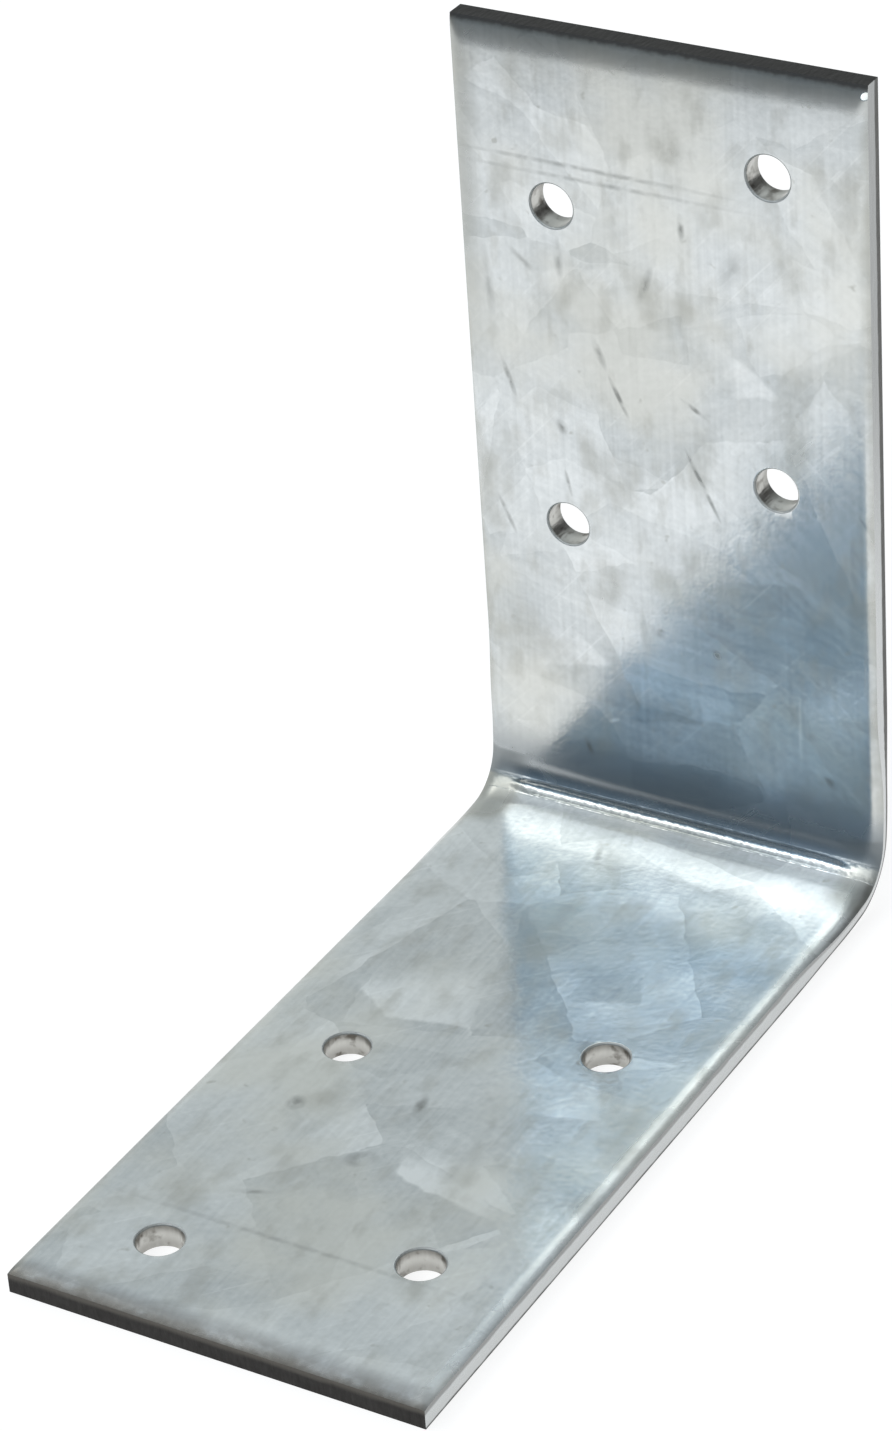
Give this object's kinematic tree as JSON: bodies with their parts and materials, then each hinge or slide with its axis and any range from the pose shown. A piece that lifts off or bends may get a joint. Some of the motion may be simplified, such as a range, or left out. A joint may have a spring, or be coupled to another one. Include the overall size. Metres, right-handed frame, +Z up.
{
  "type": "framing angle",
  "caption": "Folded sheet-steel framing angle with staggered nail holes in both legs, for nailing two timbers at a right angle.",
  "frame": {"origin": "below the middle of the bounding box, in the plane of the flat leg's underside", "axes": "+X across the strip, +Y out of the upright leg's back face, +Z up along the upright leg"},
  "size_m": [0.0388, 0.0806, 0.0771],
  "materials": {
    "galvanised_sheet": "hot-dip galvanised zinc with a large spangle, satin, with light handling scratches"
  },
  "bodies": {
    "root": {"framing_angle": "galvanised_sheet"}
  },
  "joints": []
}
